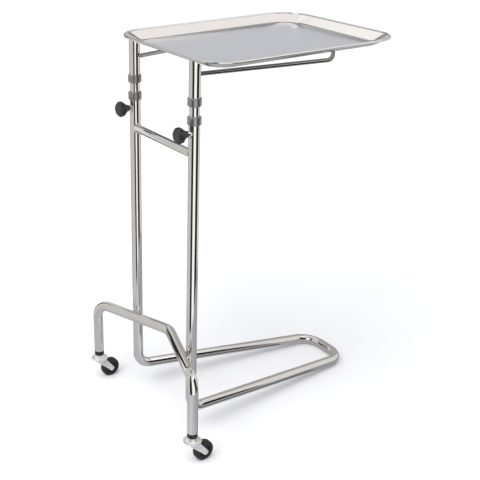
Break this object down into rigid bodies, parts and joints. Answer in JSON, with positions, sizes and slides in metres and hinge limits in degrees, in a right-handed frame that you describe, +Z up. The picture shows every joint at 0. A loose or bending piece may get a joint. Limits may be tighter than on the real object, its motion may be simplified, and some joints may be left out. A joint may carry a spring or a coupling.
{
  "type": "instrument stand",
  "caption": "Double-post rolling instrument stand: shallow steel tray on telescoping chrome posts, bent floor loop in front and swivel casters behind",
  "frame": {"origin": "on the floor, under the centre of the outline", "axes": "+X forward, from the posts to the front of the tray; +Y to the far side; +Z up"},
  "size_m": [0.6477, 0.4904, 0.9355],
  "materials": {
    "chrome_tube": "bright chrome plate on steel tube",
    "chrome_rod": "bright chrome plate on steel rod",
    "stainless_sheet": "satin stainless sheet, polished rim",
    "grey_collar": "moulded grey nylon, slight sheen",
    "black_insert": "moulded black plastic",
    "zinc_steel": "bright zinc plated pressing",
    "bearing_steel": "polished bearing balls",
    "black_knob": "moulded black phenolic, fine grain",
    "black_wheel": "moulded black nylon",
    "black_tyre": "hard black rubber tread"
  },
  "bodies": {
    "frame": {"floor_tube": "chrome_tube", "caster_yoke": "chrome_tube", "crossbar": "chrome_tube", "near_lower_collar": "grey_collar", "near_clamp_boss": "chrome_tube", "near_caster_socket": "black_insert", "near_caster_stem": "zinc_steel", "near_caster_plate": "zinc_steel", "far_lower_collar": "grey_collar", "far_clamp_boss": "chrome_tube", "far_caster_socket": "black_insert", "far_caster_stem": "zinc_steel", "far_caster_plate": "zinc_steel"},
    "tray_frame": {"near_upper_tube": "chrome_tube", "near_inner_tube": "chrome_tube", "near_upper_collar": "grey_collar", "near_support_rod": "chrome_rod", "near_guide_plug": "black_insert", "far_upper_tube": "chrome_tube", "far_inner_tube": "chrome_tube", "far_upper_collar": "grey_collar", "far_support_rod": "chrome_rod", "far_guide_plug": "black_insert"},
    "tray": {"tray": "stainless_sheet"},
    "near_stud": {"near_clamp_stud": "zinc_steel"},
    "near_knob": {"near_clamp_knob": "black_knob"},
    "near_swivel": {"near_caster_fork": "zinc_steel", "near_caster_balls": "bearing_steel", "near_caster_axle": "zinc_steel"},
    "near_wheel": {"near_wheel_hub": "black_wheel", "near_wheel_tyre": "black_tyre"},
    "far_stud": {"far_clamp_stud": "zinc_steel"},
    "far_knob": {"far_clamp_knob": "black_knob"},
    "far_swivel": {"far_caster_fork": "zinc_steel", "far_caster_balls": "bearing_steel", "far_caster_axle": "zinc_steel"},
    "far_wheel": {"far_wheel_hub": "black_wheel", "far_wheel_tyre": "black_tyre"}
  },
  "joints": [
    {"name": "height_slide", "type": "slide", "parent": "frame", "child": "tray_frame", "axis": [0, 0, 1], "range_m": [-0.021, 0.38]},
    {"name": "tray_lift_off", "type": "slide", "parent": "tray_frame", "child": "tray", "axis": [0, 0, 1], "range_m": [0, 0.05]},
    {"name": "near_stud_travel", "type": "slide", "parent": "frame", "child": "near_stud", "axis": [-1, 0, 0], "range_m": [0, 0.0025]},
    {"name": "near_knob_turn", "type": "hinge", "parent": "near_stud", "child": "near_knob", "pos_m": [-0.27285, -0.123, 0.772], "axis": [-1, 0, 0], "range_deg": [0, 720]},
    {"name": "near_caster_swivel", "type": "hinge", "parent": "frame", "child": "near_swivel", "pos_m": [-0.30165, -0.223, 0.0585], "axis": [0, 0, 1], "continuous": true},
    {"name": "near_wheel_roll", "type": "hinge", "parent": "near_swivel", "child": "near_wheel", "pos_m": [-0.27065, -0.223, 0.025], "axis": [0, 1, 0], "continuous": true},
    {"name": "far_stud_travel", "type": "slide", "parent": "frame", "child": "far_stud", "axis": [-1, 0, 0], "range_m": [0, 0.0025]},
    {"name": "far_knob_turn", "type": "hinge", "parent": "far_stud", "child": "far_knob", "pos_m": [-0.27285, 0.123, 0.772], "axis": [-1, 0, 0], "range_deg": [0, 720]},
    {"name": "far_caster_swivel", "type": "hinge", "parent": "frame", "child": "far_swivel", "pos_m": [-0.30165, 0.223, 0.0585], "axis": [0, 0, 1], "continuous": true},
    {"name": "far_wheel_roll", "type": "hinge", "parent": "far_swivel", "child": "far_wheel", "pos_m": [-0.27065, 0.223, 0.025], "axis": [0, 1, 0], "continuous": true}
  ],
  "couplings": [
    {"joint": "near_knob_turn", "follows": "near_stud_travel", "rad_per_m": 5026.5},
    {"joint": "far_knob_turn", "follows": "far_stud_travel", "rad_per_m": 5026.5}
  ]
}
